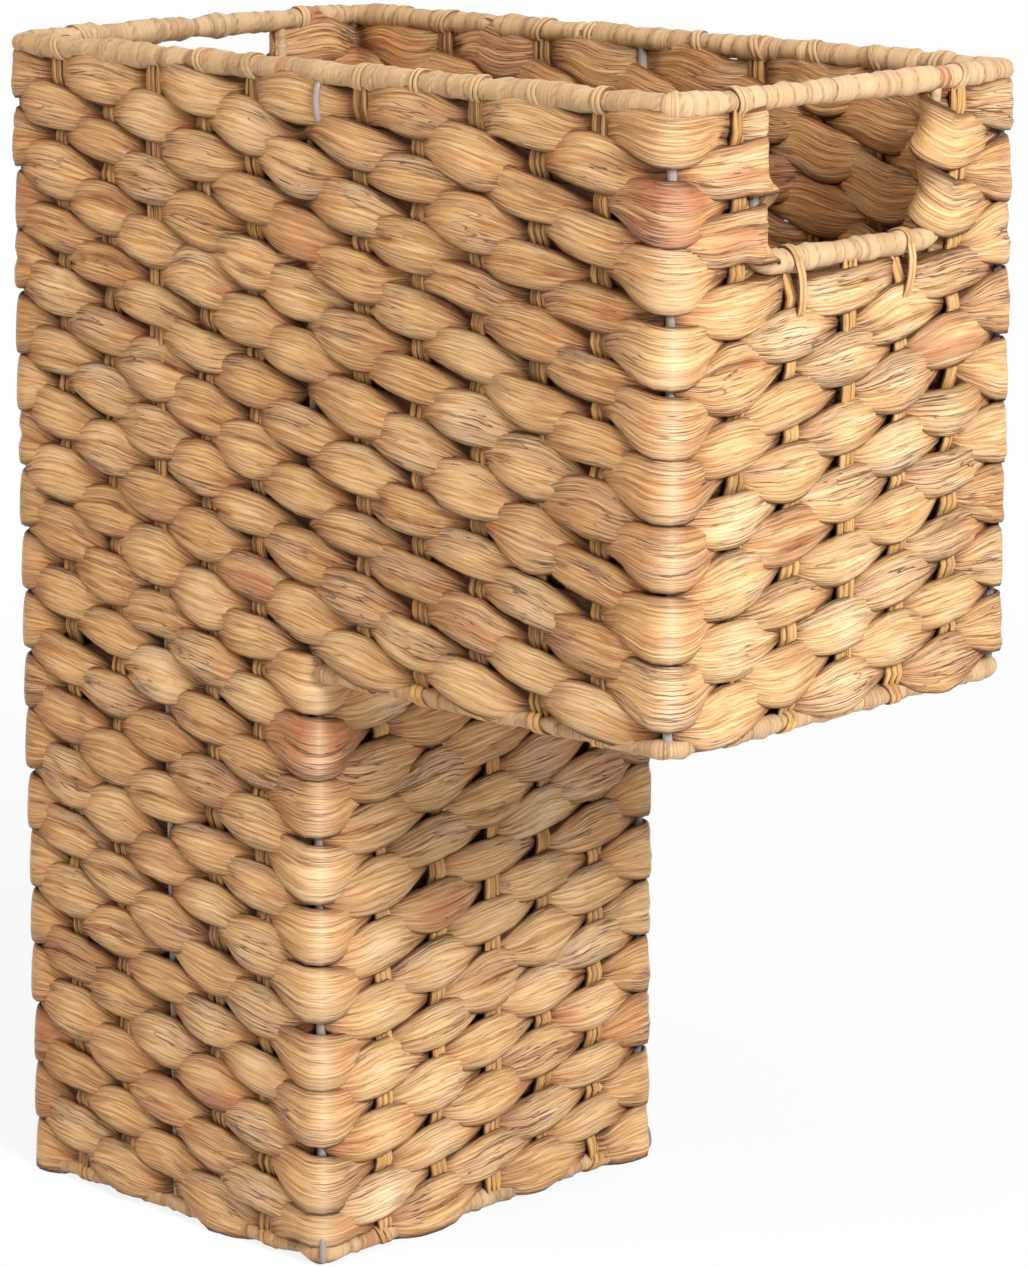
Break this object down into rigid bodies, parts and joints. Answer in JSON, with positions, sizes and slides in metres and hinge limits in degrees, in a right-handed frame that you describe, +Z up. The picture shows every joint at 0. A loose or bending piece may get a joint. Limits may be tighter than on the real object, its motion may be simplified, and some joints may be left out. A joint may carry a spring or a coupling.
{
  "type": "stair basket",
  "caption": "Woven water-hyacinth stair basket: a tall narrow lower box carries a deeper upper box that overhangs the next stair, with a handle opening at each end.",
  "frame": {"origin": "under the middle of the overall box, on the surface that the basket stands on", "axes": "+X from the back wall towards the overhang, +Y across the stair, +Z up"},
  "size_m": [0.305, 0.166, 0.3999],
  "materials": {
    "woven_hyacinth": "satin",
    "binding_strip": "satin",
    "twine": "matte",
    "coated_wire": "satin"
  },
  "bodies": {
    "root": {"top_rim_wire": "coated_wire", "base_rim_wire": "coated_wire", "step_rim_wire": "coated_wire", "step_cross_wire": "coated_wire", "centre_hoop_wire": "coated_wire", "overhang_centre_wire": "coated_wire", "back_handle_wire": "coated_wire", "front_handle_wire": "coated_wire", "back_corner_wire_left": "coated_wire", "back_corner_wire_right": "coated_wire", "step_corner_wire_left": "coated_wire", "step_corner_wire_right": "coated_wire", "front_corner_wire_left": "coated_wire", "front_corner_wire_right": "coated_wire", "side_wire_left": "coated_wire", "side_wire_right": "coated_wire", "side_twine_left_1": "twine", "side_twine_left_2": "twine", "side_twine_left_3": "twine", "side_twine_left_4": "twine", "side_twine_left_5": "twine", "side_twine_left_6": "twine", "side_twine_left_7": "twine", "side_twine_left_8": "twine", "side_twine_left_9": "twine", "side_twine_right_1": "twine", "side_twine_right_2": "twine", "side_twine_right_3": "twine", "side_twine_right_4": "twine", "side_twine_right_5": "twine", "side_twine_right_6": "twine", "side_twine_right_7": "twine", "side_twine_right_8": "twine", "side_twine_right_9": "twine", "back_twine_1": "twine", "back_twine_2": "twine", "back_twine_3": "twine", "back_twine_4": "twine", "lower_front_twine_1": "twine", "lower_front_twine_2": "twine", "lower_front_twine_3": "twine", "lower_front_twine_4": "twine", "overhang_front_twine_1": "twine", "overhang_front_twine_2": "twine", "overhang_front_twine_3": "twine", "overhang_front_twine_4": "twine", "left_wall_lower": "woven_hyacinth", "left_wall_upper": "woven_hyacinth", "right_wall_lower": "woven_hyacinth", "right_wall_upper": "woven_hyacinth", "back_wall": "woven_hyacinth", "lower_front_wall": "woven_hyacinth", "overhang_front_wall": "woven_hyacinth", "base_floor": "woven_hyacinth", "overhang_floor": "woven_hyacinth", "top_rim_binding": "binding_strip", "base_rim_binding": "binding_strip", "step_rim_binding": "binding_strip", "back_handle_binding": "binding_strip", "front_handle_binding": "binding_strip"}
  },
  "joints": []
}
